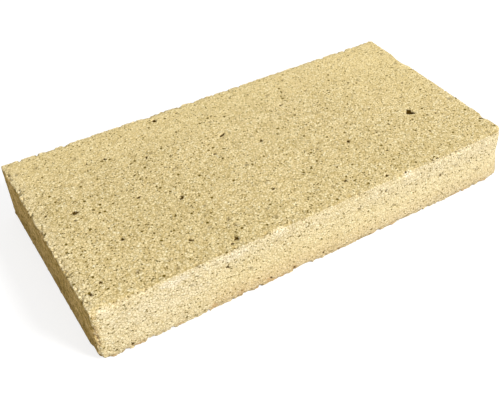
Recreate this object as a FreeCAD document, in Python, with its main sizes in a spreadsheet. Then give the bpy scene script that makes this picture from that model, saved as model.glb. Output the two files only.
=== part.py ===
import FreeCAD
import Part
import Sketcher
import os

# Split-format fireclay brick: one dry-pressed, fired slab. Millimetres, +Z up, +X along the length,
# -Y the long side that faces the viewer. The origin is the middle of the bottom bed face.

# Driving dimensions: alias, value in millimetres unless the meaning says otherwise, what it sets
SIZES = [
    ("brick_length", 230.0, "overall length, along X"),
    ("brick_width", 114.0, "overall width, along Y"),
    ("brick_thickness", 32.0, "overall thickness, along Z"),
    ("arris_radius", 0.6, "rounding of every long and short arris"),
    ("front_left_wear", 0.4, "upright corner: rounding beyond the arris radius"),
    ("front_right_wear", 0.2, "upright corner: rounding beyond the arris radius"),
    ("back_right_wear", 1.6, "upright corner: rounding beyond the arris radius"),
    ("back_left_wear", 0.2, "upright corner: rounding beyond the arris radius"),
    ("shell_flatness", 1.0, "ratio: stand-off of a shell-shaped break's middle to its bite"),
    ("wear_flatness", 4.0, "ratio: the same for a worn arris, which is nearly flat across"),
    ("worn_arris_run", 42.0, "front top arris, from the left end until the wear dies out"),
    ("worn_arris_bite", 1.9, "depth of that wear into the top and front faces at the left end"),
    ("left_nick_place", 91.5, "front top arris, left nick: middle, from the left end"),
    ("left_nick_run", 13.0, "length of the nick"),
    ("left_nick_bite", 1.7, "depth of the nick into the two faces"),
    ("right_nick_place", 66.0, "front top arris, right nick: middle, from the right end"),
    ("right_nick_run", 15.0, "length of the nick"),
    ("right_nick_bite", 1.6, "depth of the nick into the two faces"),
    ("foot_nick_place", 103.5, "front bottom arris, nick: middle, from the left end"),
    ("foot_nick_run", 11.0, "length of the nick"),
    ("foot_nick_bite", 2.2, "depth of the nick into the two faces"),
    ("left_foot_run", 6.0, "broken corner, front bottom left: length along the front arris"),
    ("left_foot_bite", 2.6, "depth of the break into the bottom and front faces"),
    ("left_toe_run", 8.0, "front left upright arris, chip at its foot: height"),
    ("left_toe_bite", 2.0, "depth of the chip into the left and front faces"),
    ("right_foot_run", 6.0, "broken corner, front bottom right: length along the front arris"),
    ("right_foot_bite", 3.0, "depth of the break into the bottom and front faces"),
    ("right_corner_place", 24.0, "front right upright arris, break: middle, above the bottom face"),
    ("right_corner_run", 36.0, "height of the break, past the top face"),
    ("right_corner_bite", 3.8, "depth of the break into the right and front faces"),
    ("head_nick_place", 29.0, "right end, top arris, nick: middle, from the back face"),
    ("head_nick_run", 18.0, "length of the nick"),
    ("head_nick_bite", 1.6, "depth of the nick into the two faces"),
    ("head_chip_place", 15.0, "right end, top arris, chip: middle, from the front face"),
    ("head_chip_run", 7.0, "length of the chip"),
    ("head_chip_bite", 1.7, "depth of the chip into the two faces"),
    ("back_nick_place", 24.5, "back top arris, nick: middle, from the left end"),
    ("back_nick_run", 8.0, "length of the nick"),
    ("back_nick_bite", 1.3, "depth of the nick into the two faces"),
    ("pit_from_right", 32.0, "burnt-out pit in the top face: middle, from the right end"),
    ("pit_from_front", 39.9, "middle of the pit, from the front face"),
    ("pit_length", 5.4, "length of the pit's mouth"),
    ("pit_width", 3.2, "width of the pit's mouth"),
    ("pit_turn", -42.0, "degrees: the mouth's length, from +X towards +Y"),
    ("pit_depth", 1.6, "depth of the pit below the top face"),
]

# Where each face and end lies, as expressions of the sheet
LEFT = "-sizes.brick_length / 2"
RIGHT = "sizes.brick_length / 2"
FRONT = "-sizes.brick_width / 2"
BACK = "sizes.brick_width / 2"
TOP = "sizes.brick_thickness"
BOTTOM = "0"


def fill_sheet(doc):
    sheet = doc.addObject("Spreadsheet::Sheet", "sizes")
    for row, (alias, value, meaning) in enumerate(SIZES, start=1):
        sheet.set(f"A{row}", alias)
        sheet.set(f"B{row}", str(value))
        sheet.set(f"C{row}", meaning)
        sheet.setAlias(f"B{row}", alias)
    doc.recompute()
    return sheet


def origin_plane(body, role):
    return next(feature for feature in body.Origin.OriginFeatures if feature.Role == role)


def lay_on_bed_plane(body, feature):
    feature.AttachmentSupport = (origin_plane(body, "XY_Plane"), [""])
    feature.MapMode = "FlatFace"


def press_slab(doc, body, sheet):
    outline = body.newObject("Sketcher::SketchObject", "bed_outline")
    lay_on_bed_plane(body, outline)
    half_length = sheet.brick_length / 2
    half_width = sheet.brick_width / 2
    corners = [
        FreeCAD.Vector(x * half_length, y * half_width, 0)
        for x, y in ((-1, -1), (1, -1), (1, 1), (-1, 1))
    ]
    for start, end in zip(corners, corners[1:] + corners[:1]):
        outline.addGeometry(Part.LineSegment(start, end), False)
    for line in range(4):
        outline.addConstraint(Sketcher.Constraint("Coincident", line, 2, (line + 1) % 4, 1))
        direction = "Horizontal" if line % 2 == 0 else "Vertical"
        outline.addConstraint(Sketcher.Constraint(direction, line))
    outline.addConstraint(Sketcher.Constraint("Symmetric", 0, 1, 1, 2, -1, 1))
    length = outline.addConstraint(Sketcher.Constraint("DistanceX", 0, 1, 0, 2, sheet.brick_length))
    outline.setExpression(f"Constraints[{length}]", "sizes.brick_length")
    width = outline.addConstraint(Sketcher.Constraint("DistanceY", 1, 1, 1, 2, sheet.brick_width))
    outline.setExpression(f"Constraints[{width}]", "sizes.brick_width")

    slab = body.newObject("PartDesign::Pad", "pressed_slab")
    slab.Profile = outline
    slab.setExpression("Length", TOP)
    doc.recompute()


def round_edges(doc, body, name, belongs, radius):
    base = body.Tip
    names = [f"Edge{n}" for n, edge in enumerate(base.Shape.Edges, start=1) if belongs(edge.BoundBox)]
    fillet = body.newObject("PartDesign::Fillet", name)
    fillet.Base = (base, names)
    fillet.setExpression("Radius", radius)
    doc.recompute()


def round_upright_corners(doc, body, sheet):
    corners = {
        "front_left": (-1, -1),
        "front_right": (1, -1),
        "back_right": (1, 1),
        "back_left": (-1, 1),
    }
    for name, (x_side, y_side) in corners.items():
        corner = FreeCAD.Vector(x_side * sheet.brick_length / 2, y_side * sheet.brick_width / 2, 0)

        def stands_there(box):
            middle = FreeCAD.Vector(box.Center.x, box.Center.y, 0)
            upright = box.ZLength > sheet.brick_thickness / 2
            return upright and middle.distanceToPoint(corner) < sheet.arris_radius / 2

        round_edges(doc, body, f"{name}_corner", stands_there, f"sizes.arris_radius + sizes.{name}_wear")


def round_arrises(doc, body, sheet):
    for name, level in (("top_arris", sheet.brick_thickness), ("bottom_arris", 0.0)):

        def lies_there(box):
            off_level = max(abs(box.ZMin - level), abs(box.ZMax - level))
            return off_level < sheet.arris_radius / 2

        round_edges(doc, body, name, lies_there, "sizes.arris_radius")


def scoop(doc, body, name, middle, half_sizes, turn="0"):
    cut = body.newObject("PartDesign::SubtractiveEllipsoid", name)
    lay_on_bed_plane(body, cut)
    for axis, place in zip("xyz", middle):
        cut.setExpression(f"AttachmentOffset.Base.{axis}", place)
    cut.setExpression("AttachmentOffset.Rotation.Angle", turn)
    for radius, half_size in zip(("Radius2", "Radius3", "Radius1"), half_sizes):
        cut.setExpression(radius, half_size)
    doc.recompute()


def break_arris(doc, body, name, along, place, across, run, flatness):
    # A break is a scoop by an ellipsoid whose middle stands off the arris, in air, by flatness * bite from
    # each of the two faces. Its round section passes bite inside each face, and its half length is such
    # that it crosses the sharp arris line run apart. across holds the two faces in the order of their axes,
    # each with the sign that leads out of it.
    bite = f"sizes.{name}_bite"
    section_per_bite = f"sqrt((1 + {flatness}) * (1 + {flatness}) + {flatness} * {flatness})"
    section = f"{bite} * {section_per_bite}"
    half_length = f"{run} / 2 * {section_per_bite} / sqrt(1 + 2 * {flatness})"
    middle = [f"{face} {outward} {flatness} * {bite}" for face, outward in across]
    half_sizes = [section, section]
    axis = "xyz".index(along)
    middle.insert(axis, place)
    half_sizes.insert(axis, half_length)
    scoop(doc, body, name, middle, half_sizes)


def break_arrises(doc, body):
    front_top = [(FRONT, "-"), (TOP, "+")]
    front_bottom = [(FRONT, "-"), (BOTTOM, "-")]
    back_top = [(BACK, "+"), (TOP, "+")]
    right_top = [(RIGHT, "+"), (TOP, "+")]
    front_left = [(LEFT, "-"), (FRONT, "-")]
    front_right = [(RIGHT, "+"), (FRONT, "-")]
    wear = "sizes.wear_flatness"
    shell = "sizes.shell_flatness"
    break_arris(
        doc, body, "right_corner", "z", "sizes.right_corner_place", front_right, "sizes.right_corner_run", wear
    )
    # At a corner the break's middle is at the brick's end, so that half of its length is in air
    break_arris(doc, body, "worn_arris", "x", LEFT, front_top, "2 * sizes.worn_arris_run", wear)
    break_arris(doc, body, "left_foot", "x", LEFT, front_bottom, "2 * sizes.left_foot_run", shell)
    break_arris(doc, body, "left_toe", "z", BOTTOM, front_left, "2 * sizes.left_toe_run", shell)
    break_arris(doc, body, "right_foot", "x", RIGHT, front_bottom, "2 * sizes.right_foot_run", shell)
    nicks = {
        "left_nick": ("x", f"{LEFT} + sizes.left_nick_place", front_top),
        "right_nick": ("x", f"{RIGHT} - sizes.right_nick_place", front_top),
        "foot_nick": ("x", f"{LEFT} + sizes.foot_nick_place", front_bottom),
        "back_nick": ("x", f"{LEFT} + sizes.back_nick_place", back_top),
        "head_nick": ("y", f"{BACK} - sizes.head_nick_place", right_top),
        "head_chip": ("y", f"{FRONT} + sizes.head_chip_place", right_top),
    }
    for name, (along, place, across) in nicks.items():
        break_arris(doc, body, name, along, place, across, f"sizes.{name}_run", shell)


def burn_pit(doc, body):
    # The pit is the lower half of an ellipsoid whose middle is on the top face
    middle = [f"{RIGHT} - sizes.pit_from_right", f"{FRONT} + sizes.pit_from_front", TOP]
    half_sizes = ["sizes.pit_length / 2", "sizes.pit_width / 2", "sizes.pit_depth"]
    scoop(doc, body, "burnt_pit", middle, half_sizes, "sizes.pit_turn")


def check(doc, body):
    for item in doc.Objects:
        if "Invalid" in item.State or "Error" in item.State:
            raise RuntimeError(f"{item.Label} failed: {item.State}")
    shape = body.Shape
    if shape.isNull() or not shape.isValid() or len(shape.Solids) != 1:
        raise RuntimeError(f"{body.Label} is not one valid solid")


def main():
    doc = FreeCAD.newDocument("firebrick")
    sheet = fill_sheet(doc)
    body = doc.addObject("PartDesign::Body", "firebrick")
    body.Label = "firebrick"
    press_slab(doc, body, sheet)
    round_upright_corners(doc, body, sheet)
    round_arrises(doc, body, sheet)
    pressed_volume = body.Shape.Volume
    break_arrises(doc, body)
    burn_pit(doc, body)
    check(doc, body)
    volume = body.Shape.Volume
    print(f"{body.Label}: {volume:.0f} mm3, with {pressed_volume - volume:.0f} mm3 broken off")

    os.makedirs("parts", exist_ok=True)
    body.Shape.exportStep(f"parts/{body.Label}.step")


main()
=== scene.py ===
import math
from types import SimpleNamespace

import bmesh
import bpy
from mathutils import Matrix, Vector, noise
from mathutils.bvhtree import BVHTree


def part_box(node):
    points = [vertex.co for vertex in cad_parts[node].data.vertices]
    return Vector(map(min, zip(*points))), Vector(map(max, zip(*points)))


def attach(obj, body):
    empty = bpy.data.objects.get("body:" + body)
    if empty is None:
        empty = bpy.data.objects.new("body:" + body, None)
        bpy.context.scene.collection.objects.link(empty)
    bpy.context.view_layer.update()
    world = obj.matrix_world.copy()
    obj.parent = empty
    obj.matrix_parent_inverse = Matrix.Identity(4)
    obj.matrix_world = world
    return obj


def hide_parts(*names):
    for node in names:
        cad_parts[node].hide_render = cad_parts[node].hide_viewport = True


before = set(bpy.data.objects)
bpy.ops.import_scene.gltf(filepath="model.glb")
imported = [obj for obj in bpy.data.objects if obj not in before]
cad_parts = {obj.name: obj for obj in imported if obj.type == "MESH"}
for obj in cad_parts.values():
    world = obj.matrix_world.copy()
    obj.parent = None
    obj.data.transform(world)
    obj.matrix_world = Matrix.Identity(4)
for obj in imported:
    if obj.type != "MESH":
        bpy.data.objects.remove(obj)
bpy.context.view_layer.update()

mm = 0.001


# small helpers

def smooth(low, high, value):  # 0 at low, 1 at high, eased between
    t = min(1.0, max(0.0, (value - low) / (high - low)))
    return t * t * (3 - 2 * t)


def band(levels, value):  # levels: the most, where it starts, where it is full
    most, start, full = levels
    return most * smooth(start, full, value)


def hills(place, size, seed=0.0):  # soft noise from 0 to 1, bumps about size apart
    return 0.5 + 0.5 * noise.noise(place / size + Vector((seed, seed * 1.7, -seed)))


def patches(levels, place):  # levels: where a patch starts, where it is full, size and seed of its hills
    start, full, size, seed = levels
    return smooth(start, full, hills(place, size, seed))


def chance(place, seed=0.0):  # one number from 0 to 1 for each place
    return 0.5 + 0.5 * noise.cell(place * 37.0 + Vector((seed, -seed, seed * 2.3)))


# the brick's mesh: a grid laid on the solid, finer along the arrises, then worn inwards

brick = {
    "node": "firebrick",
    "body": "root",
    "slot": "fired_clay",
    "pitch": 1.3,  # mm between grid lines on the open faces
    "arrisBands": (3.0, 1.0),  # mm beside an arris: inside each of these the grid is halved
    "spotMargin": 0.7,  # mm round a burnt spot that gets the fine grid too
    "spotPitch": 0.45,  # mm, the grid in a burnt spot
    "spotSunk": 2.5,  # mm below its face where a point can still be in a spot
    "porePitch": 0.9,  # mm, the grid in a pore
    "onFace": 0.1,  # mm from a face that still counts as on it
    "aimDepth": 6.0,  # mm inside the faces where the rays that find the solid aim
    "brokenGap": (0.25, 0.7),  # mm below its face: where a break in the solid starts, where it is sure
    "relief": [  # how a face is out of flat: mm between bumps, mm high, seed
        (42, 0.12, 0),
        (16, 0.07, 3),
        (5, 0.08, 7),
        (2.4, 0.08, 11),
    ],
    "grainSize": 1.3,  # mm across the grains that an arris lays bare
    "grainDome": 0.24,  # mm from a grain's crown to its rim
    "grainStep": 0.26,  # mm between a proud grain and a sunk one
    "footGrain": 1.7,  # times rougher by the bottom
    "grainSeed": 13,
    "bareBand": (2.8, 1.2),  # mm from an arris: where single grains start to stand out, where they all do
    "poreCell": 6.0,  # mm between pores that are big enough to model
    "poreShare": 0.5,
    "poreRadius": (0.5, 1.0),  # mm
    "poreSink": 0.8,  # depth as a share of a half ball's
    "poreSeeds": (31, 36),
    "pit": (83, -17, 4.5),  # mm: middle of the solid's burnt pit, along and across, and its reach
    "pitWedge": ((83.6, -14.4), (80.9, -17.8), (85.5, -19.8), (85.1, -16.2)),  # mm: what is burnt there
    "pitRim": (-0.35, 0.10),  # mm inside the wedge: where it starts to darken, where it is burnt through
    "pitRagged": (0.6, 0.9),  # mm that its rim wanders, over what length
    "corners": [  # mm: place, reach and loss of the corners that are worn most
        ((-115, -52, 0), 7.0, 2.0),
        ((115, -57, 32), 5.5, 1.7),
    ],
    "wholeCorner": (-115, 57, 32),  # mm: the one that hasn't crumbled
    "wholeReach": (1.0, 9.0),  # mm from it: where arrises start to crumble, where they do as elsewhere
}

faceNames = (("left", "right"), ("front", "back"), ("bottom", "top"))


def nearestFaces(place, low, high):  # the faces round a point, nearest first, as (gap in mm, name)
    gaps = []
    for axis in range(3):
        under, over = (place[axis] - low[axis]) / mm, (high[axis] - place[axis]) / mm
        gaps.append((under, faceNames[axis][0]) if under < over else (over, faceNames[axis][1]))
    return sorted(gaps)


def whereIs(place, low, high):  # the face a point is on, the next one, and its gaps in mm
    (sunk, face), (edgeGap, beside) = nearestFaces(place, low, high)[:2]
    return SimpleNamespace(
        face=face,
        beside=beside,
        sunk=sunk,  # below its own face
        edgeGap=edgeGap,  # from the next one
        broken=smooth(*brick["brokenGap"], sunk),  # 1 inside one of the solid's own breaks
        fromLeft=(place.x - low.x) / mm,
        fromFloor=(place.z - low.z) / mm,
        fromTop=(high.z - place.z) / mm,
    )


def poreDepth(p):  # round pores, open where the face cuts them
    cell = brick["poreCell"]
    smallest, largest = brick["poreRadius"]
    shareSeed, radiusSeed = brick["poreSeeds"]
    gaps, places = noise.voronoi(p / cell)
    if chance(places[0], shareSeed) > brick["poreShare"]:
        return 0.0
    radius = smallest + (largest - smallest) * chance(places[0], radiusSeed)
    gap = gaps[0] * cell
    return brick["poreSink"] * math.sqrt(radius * radius - gap * gap) if gap < radius else 0.0


# how a burnt spot is shaped, in shares of its width
spotShape = {
    "bowl": (0.60, 0.20),  # from its middle: where it starts to sink, where it is deepest
    "burn": (0.45, 0.32),  # where it starts to darken, where it is burnt through
    "ragged": (0.42, 0.45),  # how far its rim wanders, over what length
}

# burnt iron spots on the top face: mm from the middle along the brick and across it, width, depth
ironSpots = [
    (-51, -13, 2.8, 0.8),
    (-35, 51, 2.9, 0.7),
    (-11, 20, 3.3, 0.8),
    (-44, -51, 2.6, 0.8),
    (-97, 4, 2.4, 0.7),
    (-68, -2, 2.4, 0.7),
    (-110, -47, 2.4, 0.8),
    (-61, -41, 2.2, 0.7),
    (-86, -24, 2.2, 0.7),
    (39, -53, 2.0, 0.6),
    (-79, 35, 2.0, 0.6),
    (-22, 8, 2.3, 0.6),
    (20, -45, 1.9, 0.5),
    (3, 5, 2.0, 0.5),
    (40, -20, 2.0, 0.5),
    (-52, 24, 1.8, 0.5),
    (29, 27, 2.2, 0.6),
    (69, -56, 1.8, 0.6),
    (-104, -43, 1.7, 0.6),
    (-47, -53, 1.6, 0.6),
    (95, -25, 1.6, 0.5),
    (-99, -1, 1.6, 0.5),
    (-12, -31, 1.8, 0.5),
    (-70, 34, 1.6, 0.5),
    (52, -37, 1.6, 0.5),
    (-109, 9, 1.6, 0.5),
    (99, 8, 1.5, 0.5),
    (66, -56, 1.5, 0.4),
    (112, -42, 2.0, 0.6),
    (49, -56, 1.7, 0.6),
    (-22, 51, 1.7, 0.5),
    (-10, 53, 1.6, 0.5),
]

# the same on the front: mm from the middle along, mm up
frontSpots = [
    (72, 20, 1.9, 0.5),
    (36, 26, 1.8, 0.5),
    (-52, 23, 1.8, 0.5),
    (-100, 3, 1.9, 0.5),
    (-30, 3, 2.0, 0.5),
    (-17, 3, 1.8, 0.5),
    (0, 4, 1.7, 0.4),
]


def spotDepth(along, across, spots):  # how deep a point of a face is in a burnt spot, and how burnt
    deepest, burnt = 0.0, 0.0
    bowlRim, bowlFloor = spotShape["bowl"]
    burnRim, burnHeart = spotShape["burn"]
    wander, length = spotShape["ragged"]
    for x, y, width, depth in spots:
        away = math.hypot(along - x, across - y)
        if away < width:
            ragged = wander * width * noise.noise(Vector((along, across, x)) / (length * width))
            deepest = max(deepest, depth * smooth(bowlRim * width, bowlFloor * width, away + ragged))
            burnt = max(burnt, smooth(burnRim * width, burnHeart * width, away + ragged))
    return deepest, burnt


def nearSpot(along, across, spots):
    margin = brick["spotMargin"]
    return any(math.hypot(along - x, across - y) < width / 2 + margin for x, y, width, depth in spots)


def nearPit(p):
    x, y, reach = brick["pit"]
    return math.hypot(p.x - x, p.y - y) < reach


def pitBurn(p):  # how burnt a point in or beside the pit is
    corners = brick["pitWedge"]
    wander, length = brick["pitRagged"]
    inside = math.inf
    for (x, y), (nextX, nextY) in zip(corners, corners[1:] + corners[:1]):
        side = math.hypot(nextX - x, nextY - y)
        inside = min(inside, ((nextX - x) * (p.y - y) - (nextY - y) * (p.x - x)) / side)
    return smooth(*brick["pitRim"], inside + wander * noise.noise(p / length))


def slabGrid(low, high):
    bm = bmesh.new()
    size = high - low
    block = Matrix.Translation((low + high) / 2) @ Matrix.Diagonal((*size, 1.0))
    bmesh.ops.create_cube(bm, size=1.0, matrix=block)
    for axis in range(3):
        along = [e for e in bm.edges if abs(e.verts[0].co[axis] - e.verts[1].co[axis]) > 0.5 * size[axis]]
        cuts = round(size[axis] / (brick["pitch"] * mm)) - 1
        bmesh.ops.subdivide_edges(bm, edges=along, cuts=cuts, use_grid_fill=True)
    return bm


def halve(bm, wanted):  # halve the grid on the faces that are wanted finer
    edges = {e for f in bm.faces if wanted(f, f.calc_center_median()) for e in f.edges}
    bmesh.ops.subdivide_edges(bm, edges=list(edges), cuts=1, use_grid_fill=True, use_single_edge=True)


def refine(bm, low, high):
    for width in brick["arrisBands"]:
        halve(bm, lambda face, middle: nearestFaces(middle, low, high)[1][0] < width)

    def inSpot(face, middle):
        if face.calc_area() < (brick["spotPitch"] * mm) ** 2:
            return False
        x, y, z = middle / mm
        if high.z - middle.z < brick["onFace"] * mm:
            return nearPit(middle / mm) or nearSpot(x, y, ironSpots)
        return middle.y - low.y < brick["onFace"] * mm and nearSpot(x, z, frontSpots)

    def inPore(face, middle):
        return face.calc_area() > (brick["porePitch"] * mm) ** 2 and poreDepth(middle / mm) > 0

    halve(bm, inPore)
    halve(bm, inSpot)
    halve(bm, inSpot)


def layOnSolid(bm, solid, low, high):  # drop every grid point onto the solid, its breaks and rounding too
    shell = bmesh.new()
    shell.from_mesh(solid.data)
    tree = BVHTree.FromBMesh(shell)
    shell.free()
    inset = Vector((1, 1, 1)) * brick["aimDepth"] * mm
    coreLow, coreHigh = low + inset, high - inset
    inwards = []  # in the order of the points
    for v in bm.verts:
        aim = Vector([min(max(v.co[k], coreLow[k]), coreHigh[k]) for k in range(3)])
        inward = (aim - v.co).normalized()
        inwards.append(inward)
        hit = tree.ray_cast(v.co - inward * mm, inward)[0]
        if hit is not None:
            v.co = hit
    return inwards


def openRelief(p):  # faces out of flat, lumps and grit
    return sum(height * hills(p, apart, seed) for apart, height, seed in brick["relief"])


def grainRelief(p, at):  # domed grains, some proud and some sunk
    gaps, places = noise.voronoi(p / brick["grainSize"])
    relief = brick["grainDome"] * gaps[0] + brick["grainStep"] * chance(places[0], brick["grainSeed"])
    return relief * (brick["footGrain"] if "bottom" in (at.face, at.beside) else 1.0)


# how much each arris has crumbled, by the two faces that meet there
crumble = {
    "front top": 0.35,
    "bottom front": 0.6,
    "bottom left": 1.1,
    "left top": 1.15,
    "back top": 0.9,
    "right top": 0.3,
    "front left": 1.1,
    "front right": 0.9,
}
plainCrumble = 0.6  # the arrises out of sight

# how an arris crumbles where that is 1
crumbs = {
    "reach": (0.8, 2.4),  # mm from the arris: at least, and at most on top of that
    "reachHills": (15, 19),  # mm over which the reach changes, seed
    "slope": 1.3,  # how fast the loss dies out
    "waves": [(0.75, (0.5, 0.85, 9, 29)), (0.55, (0.45, 0.8, 3.2, 23))],  # mm lost, in which patches
    "grainSize": 2.0,  # mm across the grains that fell out whole
    "grainShare": 0.4,
    "grainSeed": 41,
    "grainLoss": 1.1,  # mm
    "grainBand": (2.0, 0.6),  # mm from the arris: where grains start to be missing, where they are sure to
    "grainRim": (0.75, 0.4),  # in grains: where a hole starts, where it is deep
}


def arrisLoss(p, edgeGap, strength):  # what has crumbled off beside an arris
    least, more = crumbs["reach"]
    reach = least + more * strength * hills(p, *crumbs["reachHills"])
    close = max(0.0, 1 - edgeGap / reach) ** crumbs["slope"]
    waves = sum(most * patches(levels, p) for most, levels in crumbs["waves"])
    gaps, places = noise.voronoi(p / crumbs["grainSize"])
    gone = chance(places[0], crumbs["grainSeed"]) < crumbs["grainShare"] * strength
    fallen = crumbs["grainLoss"] if gone else 0.0
    hole = fallen * smooth(*crumbs["grainBand"], edgeGap) * smooth(*crumbs["grainRim"], gaps[0])
    return strength * close * waves + hole


def lossAt(p, at):  # crumbled arrises and worn corners
    strength = crumble.get(" ".join(sorted((at.face, at.beside))), plainCrumble)
    strength *= smooth(*brick["wholeReach"], (p - Vector(brick["wholeCorner"])).length)
    loss = arrisLoss(p, at.edgeGap, strength)
    for corner, reach, most in brick["corners"]:
        loss += most * smooth(reach, 0.0, (p - Vector(corner)).length)
    return loss


def burnAt(p, at):  # depth of a burnt spot at a point, and how burnt the spot or the pit is there
    spot, burnt = 0.0, 0.0
    if at.face == "top" and at.sunk < brick["spotSunk"]:
        spot, burnt = spotDepth(p.x, p.y, ironSpots)
    elif at.face == "front" and at.sunk < brick["spotSunk"]:
        spot, burnt = spotDepth(p.x, p.z, frontSpots)
    if at.face == "top" and nearPit(p):
        burnt = max(burnt, pitBurn(p))
    return spot, burnt


# pale dust: the most, where it starts and where it is full, in mm from what the note names
dust = {
    "all": 0.42,  # all over the front
    "underTop": (0.34, 11.0, 1.0),  # on the front, from the top
    "underTopPatches": (0.36, 0.64, 18, 41),
    "right": (0.2, 110.0, 190.0),  # on the front, from the left end
    "left": (0.52, 80.0, 35.0),  # on the front, from the left end
    "bare": (0.5, 5.0),  # on the front, from the left end: none, and as much as elsewhere
    "leftArris": (0.2, 8.0, 4.0),  # on the top, from the left arris
    "chipRim": (1.2, 0.8),  # in half widths of a chip: where it starts, where it is full
    "chipRagged": (0.5, 2.5),  # half widths that its rim wanders, over how many mm
    "chipOverTop": (2.5, 0.5),  # mm from the front arris where a chip starts on the top, where it is full
    "break": 0.45,  # in the solid's own breaks
    "breakHills": (4, 47),
    "proudGrain": (0.30, 0.12),  # mm below the proudest grain: where one starts to be pale, where it is
    "proud": 0.5,  # on the grains that an arris lays bare
    "proudByTop": 0.2,  # on those of the front's top arris
}

# pale chips and smears on the front: mm along from the middle, mm up, half width, half height, strength
paleChips = [
    (-109, 29, 3.0, 3.0, 0.8),
    (-77, 29, 8.0, 2.5, 1.2),
    (-48, 29, 7.0, 2.5, 1.05),
    (-25, 31, 3.0, 3.0, 1.1),
    (50, 31, 2.5, 2.0, 1.4),
    (52, 27, 6.0, 4.0, 0.75),
    (92, 29, 4.0, 3.0, 0.7),
    (-84, 20, 25.0, 7.0, 0.7),
]


def dustAt(p, at):  # dust on the front, most along its top and at its left end
    if at.face == "top" and at.beside == "left":
        return band(dust["leftArris"], at.edgeGap)
    if at.face != "front":
        return 0.0
    underTop = band(dust["underTop"], at.fromTop) * patches(dust["underTopPatches"], p)
    cover = dust["all"] + underTop + band(dust["right"], at.fromLeft)
    cover = max(cover, band(dust["left"], at.fromLeft))
    return cover * smooth(*dust["bare"], at.fromLeft)


def chipAt(p, at):  # chips on the front and just over its top arris
    overTop = at.face == "top" and at.beside == "front"
    if at.face != "front" and not overTop:
        return 0.0
    wander, length = dust["chipRagged"]
    most = 0.0
    for x, z, halfWidth, halfHeight, strength in paleChips:
        away = math.hypot((p.x - x) / halfWidth, (p.z - z) / halfHeight)
        if away < 2:
            most = max(most, strength * smooth(*dust["chipRim"], away + wander * noise.noise(p / length)))
    return most * smooth(*dust["chipOverTop"], at.edgeGap) if overTop else most


def chalkAt(p, at, chip, grain, bare):
    byTop = {at.face, at.beside} == {"front", "top"}
    proud = smooth(*dust["proudGrain"], grain) * (dust["proudByTop"] if byTop else dust["proud"])
    inBreak = dust["break"] * at.broken * hills(p, *dust["breakHills"])
    return max(dustAt(p, at), chip, inBreak, bare * proud)


# rust and ochre: the most, where it starts and where it is full, in mm from what the note names
rust = {
    "foot": (1.0, 4.0, 0.4),  # from the floor, and on the bottom from its arrises
    "footPatches": (0.48, 0.66, 5, 43),
    "upright": (0.7, 3.5, 0.5),  # on the front, from its left arris
    "uprightPatches": (0.35, 0.6, 4, 53),
    "stainHeart": 0.4,  # of a stain's radius, inside which it is full
    "ochre": (0.4, 16.0, 4.0),  # on the front, from the floor
    "ochreStart": (45.0, 65.0),  # from the left end: none, and full
    "ochreRight": (0.5, (0.5, 165.0, 80.0)),  # share of it that goes on to the right, and what fades out
}

# rust stains at the front's foot: mm along from the middle, mm up, radius
rustStains = [(-60, 3, 2.5), (-46, 3, 2.5), (-31, 3, 3.0), (-17, 3, 2.5)]


def scorchAt(p, at):  # a rusty rim round the foot, and a front that is yellower below
    rim = band(rust["foot"], at.edgeGap if at.face == "bottom" else at.fromFloor)
    rim *= patches(rust["footPatches"], p)
    if at.face != "front":
        return rim
    if at.beside == "left":
        rim = max(rim, band(rust["upright"], at.edgeGap) * patches(rust["uprightPatches"], p))
    for x, z, radius in rustStains:
        away = math.hypot(p.x - x, p.z - z) + noise.noise(p)
        rim = max(rim, smooth(radius, rust["stainHeart"] * radius, away))
    goesOn, fades = rust["ochreRight"]
    ochre = band(rust["ochre"], at.fromFloor)
    ochre *= smooth(*rust["ochreStart"], at.fromLeft) * (goesOn + band(fades, at.fromLeft))
    return max(rim, ochre)


# dirt and painted shade: the most, where it starts and where it is full, in mm from what the note names
dirtAndShade = {
    "topArrisShade": (1.0, 5.5, 0.5),  # on the top, from the front arris: a dark line there, painted shade
    "arrisShade": (0.4, (0.6, 200.0, 60.0)),  # share of that all along, and what it gains, from the left end
    "topByFront": (0.2, 110.0, 40.0),  # on the top by the front, from the left end
    "top": (0.12, 110.0, 40.0),  # on the rest of the top, from the left end
    "frontArris": (0.6, 2.5, 0.5),  # on the front, from the top arris
    "foot": (0.3, 9.0, 2.0),  # on the front, from the floor
    "endFootShade": (1.0, 22.0, 6.0),  # on the left end, from the floor: painted shade by the floor
    "endTopShade": (0.5, 6.0, 2.0),  # on the left end, from the top: painted shadow under the crumbled top arris
}


def grimeAndShadeAt(at):  # darker along the front's top arris and in its breaks, at the front's foot, towards the left of the top and on the left end; along that arris and on the left end it is painted shade
    if at.face == "top" and at.beside == "front":
        always, more = dirtAndShade["arrisShade"]
        arrisShade = band(dirtAndShade["topArrisShade"], at.edgeGap) * (always + band(more, at.fromLeft))
        return max(at.broken, arrisShade, band(dirtAndShade["topByFront"], at.fromLeft))
    if at.face == "front" and at.beside == "top":
        return max(at.broken, band(dirtAndShade["frontArris"], at.edgeGap))
    if at.face == "front":
        return band(dirtAndShade["foot"], at.fromFloor)
    if at.face == "top":
        return band(dirtAndShade["top"], at.fromLeft)
    if at.face == "left":
        return max(band(dirtAndShade["endFootShade"], at.fromFloor), band(dirtAndShade["endTopShade"], at.fromTop))
    return 0.0


# finer, calmer clay: the most, where it starts and where it is full, in mm
fineClay = {
    "corner": (1.0, 95.0, 25.0),  # from the back right corner of the top
    "back": (0.65, 14.0, 50.0),  # from the middle towards the back
    "front": 0.5,  # in a strip along the front
    "frontBelow": (26.0, 14.0),  # mm up where the strip starts at its top, where it is full
    "frontAbove": (1.0, 9.0),  # the same at its foot
    "frontRight": (45.0, 70.0),  # from the left end
}


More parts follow.
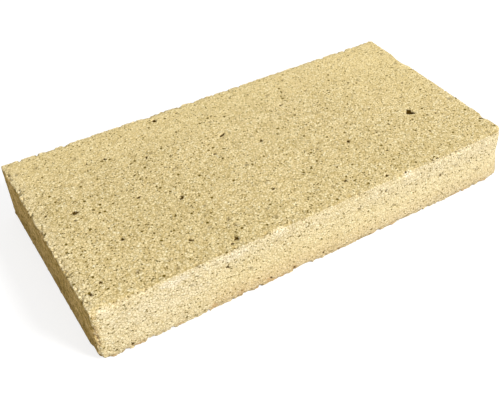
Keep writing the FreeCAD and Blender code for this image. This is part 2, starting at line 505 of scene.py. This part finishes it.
def finenessAt(p, at, corner):
    fineness = max(band(fineClay["corner"], (p - corner).length), band(fineClay["back"], p.y))
    if at.face == "front":
        strip = smooth(*fineClay["frontBelow"], at.fromFloor) * smooth(*fineClay["frontAbove"], at.fromFloor)
        strip = fineClay["front"] * strip * smooth(*fineClay["frontRight"], at.fromLeft)
        fineness = max(fineness, strip)
    return fineness


endShadeShare = {"left": 1.0, "right": 0.3, "back": 0.35}  # how much of the left end's darker, browner tone a face has: partly browner clay, partly painted shade for the shaded ends and back
endShadeBand = (0.1, 1.4)  # mm from an arris: where that tone starts, where it is full

poreShade = (0.5, 0.1, 0.5)  # painted shade in the pores: how dark a pore is at most, mm deep where that starts and where it is full


def wear(bm, inwards, low, high):  # sinks every point, and keeps masks for the material
    pit, chalk, scorch, endShade, grimeAndShade, fine = [
        bm.verts.layers.float.new(name) for name in ("pit", "chalk", "scorch", "endShade", "grimeAndShade", "fine")
    ]
    depths = []
    for v in bm.verts:
        p = v.co / mm
        at = whereIs(v.co, low, high)
        bare = max(at.broken, smooth(*brick["bareBand"], at.edgeGap))
        grain = grainRelief(p, at)
        pore = poreDepth(p)
        spot, burnt = burnAt(p, at)
        depths.append(openRelief(p) + bare * grain + lossAt(p, at) + max(pore, spot))

        chip = chipAt(p, at)
        # burnt spots and the pit, and painted shade in pores, darker the deeper
        v[pit] = max(burnt, band(poreShade, pore))
        v[chalk] = chalkAt(p, at, chip, grain, bare)
        v[scorch] = scorchAt(p, at)
        # the darker, browner tone of the ends and back, partly painted shade
        v[endShade] = smooth(*endShadeBand, at.edgeGap) * endShadeShare.get(at.face, 0.0)
        # dirt and painted shade, none on the pale chips
        v[grimeAndShade] = grimeAndShadeAt(at) * (1 - min(1.0, chip))
        v[fine] = finenessAt(p, at, high / mm)
    for v, inward, depth in zip(bm.verts, inwards, depths):
        v.co += inward * depth * mm


def makeBrick():
    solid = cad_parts[brick["node"]]
    low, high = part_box(brick["node"])
    bm = slabGrid(low, high)
    refine(bm, low, high)
    print("grid:", len(bm.verts), "points")
    inwards = layOnSolid(bm, solid, low, high)
    wear(bm, inwards, low, high)
    for face in bm.faces:
        face.smooth = True
    mesh = bpy.data.meshes.new("firebrickFace")
    bm.to_mesh(mesh)
    bm.free()
    mesh.calc_loop_triangles()
    print("brick:", len(mesh.loop_triangles), "triangles")
    piece = bpy.data.objects.new("firebrick_worn", mesh)
    bpy.context.scene.collection.objects.link(piece)
    piece.data.materials.append(firedClay())
    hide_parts(brick["node"])
    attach(piece, brick["body"])


# fired clay: coarse grog in a buff matrix, with pores and burnt iron

clay = {
    "wanderPerMm": 0.9,
    "wander": 0.5,  # mm that the outlines of grains and specks wander
    "grainsPerMm": 0.78,
    "finesPerMm": 1.6,
    "grainShare": 0.55,  # of a grain's tone, the fines give the rest
    "grog": [  # tone of the grains, from the darkest to the palest
        (0.00, (0.50, 0.368, 0.150)),
        (0.20, (0.72, 0.563, 0.263)),
        (0.50, (0.88, 0.714, 0.383)),
        (0.80, (0.955, 0.809, 0.468)),
        (1.00, (0.98, 0.889, 0.605)),
    ],
    "seamWidth": 0.16,  # in grains
    "seamCover": 0.7,
    "seam": (0.44, 0.32, 0.10),
    "slowPerMm": 0.035,  # changes of tone over a face
    "slowLevels": (0.35, 0.70),
    "slow": (0.95, 0.95, 0.93),
    "chalkCover": 0.55,
    "chalkSeams": 0.35,  # less of it in the seams
    "chalk": (0.95, 0.86, 0.68),
    "hollowsPerMm": 1.5,
    "hollowLevels": (0.60, 0.68),
    "hollowCover": 0.65,
    "hollow": (0.26, 0.18, 0.012),
    "fineCover": 0.4,
    "fine": (0.93, 0.745, 0.36),
    "speckLayers": [  # specks per mm, share of cells that hold one, largest radius in cells
        (0.22, 0.17, 0.17),
        (0.42, 0.34, 0.23),
        (0.65, 0.36, 0.29),
    ],
    "speckGrown": 0.6,  # share of the specks that have the largest radius
    "speckRim": 0.04,  # in cells
    "speckCover": 0.98,
    "speckDust": 0.3,  # less of it under dust
    "speckFine": (1.6, 0.5),  # fineness at which there would be none, and at which there are all
    "speck": (0.175, 0.118, 0.012),
    "cloudsPerMm": 0.16,
    "cloudLevels": (0.35, 0.65),
    # the ends' tone: clouds and blotches in the clay, and a browner tint that is partly painted shade
    "endDark": (0.84, 0.82, 0.70),
    "endPale": (1.14, 1.14, 1.25),
    "blotchesPerMm": 0.40,
    "blotchLevels": (0.46, 0.62),
    "endBlotch": (0.57, 0.54, 0.39),
    "endShadeTint": (0.88, 0.76, 0.53),
    # how much darker dirt and painted shade make the clay
    "grimeAndShade": (0.82, 0.81, 0.78),
    "rustCover": 0.5,
    "rust": (0.50, 0.26, 0.09),
    # burnt iron, and painted shade in pores
    "burntIronAndPoreShade": (0.072, 0.037, 0.002),
    "roughness": 0.93,
    "specular": 0.08,
    "bump": 0.28,  # mm
    "paleProud": 0.7,  # of the bump: how far the palest grains stand out
    "finesProud": 0.25,
    "hollowSunk": 0.9,
}


class NodeBench:  # puts nodes into a material or the world and wires them
    def __init__(self, owner):
        owner.use_nodes = True
        self.tree = owner.node_tree
        self.tree.nodes.clear()

    def add(self, kind, inputs=None, **settings):
        node = self.tree.nodes.new(kind)
        for name, value in settings.items():
            setattr(node, name, value)
        for socket, value in (inputs or {}).items():
            if isinstance(value, bpy.types.NodeSocket):
                self.tree.links.new(value, node.inputs[socket])
            else:
                node.inputs[socket].default_value = value
        return node

    def math(self, operation, first, second=0.0):
        return self.add("ShaderNodeMath", {0: first, 1: second}, operation=operation).outputs[0]

    def times(self, first, second):
        return self.math("MULTIPLY", first, second)

    def vector(self, operation, inputs):
        return self.add("ShaderNodeVectorMath", inputs, operation=operation).outputs[0]

    def between(self, value, low, high):  # eased 0 to 1
        inputs = {"Value": value, "From Min": low, "From Max": high}
        return self.add("ShaderNodeMapRange", inputs, interpolation_type="SMOOTHSTEP").outputs["Result"]

    def mix(self, factor, first, second, blend="MIX"):
        node = self.add("ShaderNodeMix", data_type="RGBA", blend_type=blend)
        for socket, value in ((node.inputs[0], factor), (node.inputs[6], first), (node.inputs[7], second)):
            if isinstance(value, bpy.types.NodeSocket):
                self.tree.links.new(value, socket)
            elif isinstance(value, tuple):
                socket.default_value = (*value, 1.0)
            else:
                socket.default_value = value
        return node.outputs[2]

    def tint(self, factor, first, second):
        return self.mix(factor, first, second, "MULTIPLY")

    def mask(self, name):
        return self.add("ShaderNodeAttribute", attribute_name=name).outputs["Fac"]

    def noise(self, vector, scale, detail):
        return self.add("ShaderNodeTexNoise", {"Vector": vector, "Scale": scale, "Detail": detail})

    def voronoi(self, vector, scale, feature="F1"):
        return self.add("ShaderNodeTexVoronoi", {"Vector": vector, "Scale": scale}, feature=feature)

    def channel(self, colour, number):
        return self.add("ShaderNodeSeparateColor", {0: colour}).outputs[number]

    def ramp(self, value, stops):
        node = self.add("ShaderNodeValToRGB", {"Fac": value})
        stones = node.color_ramp.elements
        while len(stones) < len(stops):
            stones.new(0.5)
        for stone, (place, colour) in zip(stones, stops):
            stone.position = place
            stone.color = (*colour, 1.0)
        return node.outputs["Color"]


def firedClay():
    material = bpy.data.materials.new("firedClay")
    bench = NodeBench(material)
    place = bench.add("ShaderNodeTexCoord").outputs["Object"]
    inMm = bench.vector("SCALE", {0: place, "Scale": 1 / mm})
    stir = bench.noise(inMm, clay["wanderPerMm"], 2.0).outputs["Color"]
    stir = bench.vector("SUBTRACT", {0: stir, 1: (0.5, 0.5, 0.5)})
    stir = bench.vector("SCALE", {0: stir, "Scale": clay["wander"]})
    stirred = bench.vector("ADD", {0: inMm, 1: stir})

    # grog grains, each with a tone of its own, and the darker seams between them
    grains = bench.voronoi(stirred, clay["grainsPerMm"])
    grainTone = bench.channel(grains.outputs["Color"], 0)
    fineTone = bench.channel(bench.voronoi(stirred, clay["finesPerMm"]).outputs["Color"], 1)
    grainShare = clay["grainShare"]
    tone = bench.math("ADD", bench.times(grainTone, grainShare), bench.times(fineTone, 1 - grainShare))
    colour = bench.ramp(tone, clay["grog"])
    seams = bench.voronoi(stirred, clay["grainsPerMm"], "DISTANCE_TO_EDGE").outputs["Distance"]
    seam = bench.between(seams, clay["seamWidth"], 0.0)
    colour = bench.mix(bench.times(seam, clay["seamCover"]), colour, clay["seam"])

    # slow changes of tone over a face
    slow = bench.noise(inMm, clay["slowPerMm"], 3.0).outputs["Fac"]
    colour = bench.tint(bench.between(slow, *clay["slowLevels"]), colour, clay["slow"])

    # pale dust on the front and on fresh breaks, less of it in the seams
    dustCover = bench.math("SUBTRACT", clay["chalkCover"], bench.times(seam, clay["chalkSeams"]))
    colour = bench.mix(bench.times(bench.mask("chalk"), dustCover), colour, clay["chalk"])

    # hollows between the grains
    hollows = bench.noise(inMm, clay["hollowsPerMm"], 2.0).outputs["Fac"]
    hollow = bench.between(hollows, *clay["hollowLevels"])
    colour = bench.mix(bench.times(hollow, clay["hollowCover"]), colour, clay["hollow"])

    # finer and paler clay
    colour = bench.mix(bench.times(bench.mask("fine"), clay["fineCover"]), colour, clay["fine"])

    # specks of burnt iron, fainter under dust and in the finest clay
    speck = None
    for perMm, share, radius in clay["speckLayers"]:
        cells = bench.voronoi(stirred, perMm)
        luck = bench.channel(cells.outputs["Color"], 2)
        size = bench.times(bench.between(luck, 1 - share, 1 - clay["speckGrown"] * share), radius)
        depth = bench.math("SUBTRACT", size, cells.outputs["Distance"])
        spots = bench.between(depth, 0.0, clay["speckRim"])
        speck = spots if speck is None else bench.math("MAXIMUM", speck, spots)
    cover = bench.math("SUBTRACT", clay["speckCover"], bench.times(bench.mask("chalk"), clay["speckDust"]))
    cover = bench.times(cover, bench.between(bench.mask("fine"), *clay["speckFine"]))
    colour = bench.mix(bench.times(speck, cover), colour, clay["speck"])

    # what the mesh says: the darker, browner ends and back (partly painted shade), dirt and painted shade
    # along arrises, at the foot and on the left end, the scorched foot, burnt pits, and painted shade in
    # pores
    clouds = bench.noise(inMm, clay["cloudsPerMm"], 3.0).outputs["Fac"]
    endShadeTone = bench.mix(bench.between(clouds, *clay["cloudLevels"]), clay["endDark"], clay["endPale"])
    blotches = bench.noise(inMm, clay["blotchesPerMm"], 3.0).outputs["Fac"]
    blotch = bench.between(blotches, *clay["blotchLevels"])
    endShadeTone = bench.mix(blotch, endShadeTone, bench.tint(1.0, endShadeTone, clay["endBlotch"]))
    # darker, browner ends and back: partly browner clay, partly painted shade
    endShadeTone = bench.tint(1.0, endShadeTone, clay["endShadeTint"])
    colour = bench.mix(bench.mask("endShade"), colour, bench.tint(1.0, colour, endShadeTone))
    # darker where dirt and painted shade lie
    colour = bench.mix(bench.mask("grimeAndShade"), colour, bench.tint(1.0, colour, clay["grimeAndShade"]))
    colour = bench.mix(bench.times(bench.mask("scorch"), clay["rustCover"]), colour, clay["rust"])
    # burnt iron in spots and the pit, and painted shade in the pores
    colour = bench.mix(bench.mask("pit"), colour, clay["burntIronAndPoreShade"])

    # grit that the grid is too coarse for: domed grains, the pale ones proud
    dome = bench.times(grains.outputs["Distance"], grains.outputs["Distance"])
    height = bench.math("SUBTRACT", bench.times(grainTone, clay["paleProud"]), dome)
    height = bench.math("ADD", height, bench.times(fineTone, clay["finesProud"]))
    height = bench.math("SUBTRACT", height, bench.times(hollow, clay["hollowSunk"]))
    height = bench.math("SUBTRACT", height, speck)
    bump = bench.add("ShaderNodeBump", {"Strength": 1.0, "Distance": clay["bump"] * mm, "Height": height})

    surface = bench.add("ShaderNodeBsdfPrincipled", {"Base Color": colour, "Normal": bump.outputs["Normal"]})
    surface.inputs["Roughness"].default_value = clay["roughness"]
    surface.inputs["Specular IOR Level"].default_value = clay["specular"]
    bench.add("ShaderNodeOutputMaterial", {"Surface": surface.outputs["BSDF"]})
    return material


# studio

studio = {
    "floorSize": 12.0,  # metres
    "floorShade": 0.40,  # what the floor throws back on the brick
    "floorGlow": (0.73, 1.0),  # what the camera sees on top of that, by the brick and far out
    "glowReach": (0.4, 1.6),  # metres from the brick
    "sky": 0.44,
    "lamps": [  # name, the way towards it, metres away, metres across, watts
        ("key", (0.42, -0.69, 0.59), 2.8, 1.05, 85.3),
        ("fill", (-0.85, -0.25, 0.46), 1.6, 1.0, 4.2),
    ],
}


def seenDirectly(bench):  # 1 for rays that show the background itself
    path = bench.add("ShaderNodeLightPath")
    either = bench.math("MAXIMUM", path.outputs["Is Camera Ray"], path.outputs["Is Glossy Ray"])
    return bench.math("MAXIMUM", either, path.outputs["Is Transmission Ray"])


def makeFloor():
    bm = bmesh.new()
    bmesh.ops.create_grid(bm, x_segments=1, y_segments=1, size=studio["floorSize"] / 2)
    mesh = bpy.data.meshes.new("floor")
    bm.to_mesh(mesh)
    bm.free()
    floor = bpy.data.objects.new("floor", mesh)
    bpy.context.scene.collection.objects.link(floor)
    material = bpy.data.materials.new("floorPaper")
    bench = NodeBench(material)
    place = bench.add("ShaderNodeTexCoord").outputs["Object"]
    away = bench.add("ShaderNodeVectorMath", {0: place}, operation="LENGTH").outputs["Value"]
    (near, far), (start, stop) = studio["floorGlow"], studio["glowReach"]
    levels = {"Value": away, "From Min": start, "From Max": stop, "To Min": near, "To Max": far}
    glow = bench.add("ShaderNodeMapRange", levels).outputs["Result"]
    glow = bench.times(seenDirectly(bench), glow)
    shade = studio["floorShade"]
    paper = bench.add("ShaderNodeBsdfDiffuse", {"Color": (shade, shade, shade, 1.0)}).outputs[0]
    white = bench.add("ShaderNodeEmission", {"Color": (1, 1, 1, 1), "Strength": glow}).outputs[0]
    both = bench.add("ShaderNodeAddShader", {0: paper, 1: white}).outputs[0]
    bench.add("ShaderNodeOutputMaterial", {"Surface": both})
    mesh.materials.append(material)
    print("floor laid")


def makeLight():
    for name, towards, away, size, watts in studio["lamps"]:
        light = bpy.data.lights.new(name, "AREA")
        light.shape = "DISK"
        light.size = size
        light.energy = watts
        lamp = bpy.data.objects.new(name, light)
        direction = Vector(towards).normalized()
        lamp.location = direction * away
        lamp.rotation_euler = direction.to_track_quat("Z", "Y").to_euler()
        bpy.context.scene.collection.objects.link(lamp)
    world = bpy.data.worlds.new("sky")
    bpy.context.scene.world = world
    bench = NodeBench(world)
    levels = {"Value": seenDirectly(bench), "To Min": studio["sky"], "To Max": 1.0}
    level = bench.add("ShaderNodeMapRange", levels).outputs["Result"]
    sky = bench.add("ShaderNodeBackground", {"Color": (1, 1, 1, 1), "Strength": level})
    bench.add("ShaderNodeOutputWorld", {"Surface": sky.outputs[0]})
    print("lights set")


photoCamera = {
    "place": (-0.1562, -0.2648, 0.2608),
    "heading": 33.80,  # degrees from +Y towards +X
    "dip": 40.72,  # degrees below level
    "tilt": 0.35,  # degrees about the line of sight
    "lens": 54.32,  # mm
    "sensor": 36.0,  # mm
    "shift": (-0.09, 0.0),  # the photo's frame lies to the left of the lens axis
    "nearest": 0.01,  # metres, where the view starts
}


def makeCamera():
    data = bpy.data.cameras.new("photoCamera")
    data.sensor_fit = "HORIZONTAL"
    data.sensor_width = photoCamera["sensor"]
    data.lens = photoCamera["lens"]
    data.shift_x, data.shift_y = photoCamera["shift"]
    data.clip_start = photoCamera["nearest"]
    camera = bpy.data.objects.new("photoCamera", data)
    turn = Matrix.Rotation(-math.radians(photoCamera["heading"]), 4, "Z")
    nod = Matrix.Rotation(math.radians(90 - photoCamera["dip"]), 4, "X")
    tilt = Matrix.Rotation(math.radians(photoCamera["tilt"]), 4, "Z")
    camera.matrix_world = Matrix.Translation(photoCamera["place"]) @ turn @ nod @ tilt
    bpy.context.scene.collection.objects.link(camera)
    bpy.context.scene.camera = camera
    print("camera placed")


makeBrick()
makeFloor()
makeLight()
makeCamera()
bpy.context.scene.view_settings.view_transform = "Standard"
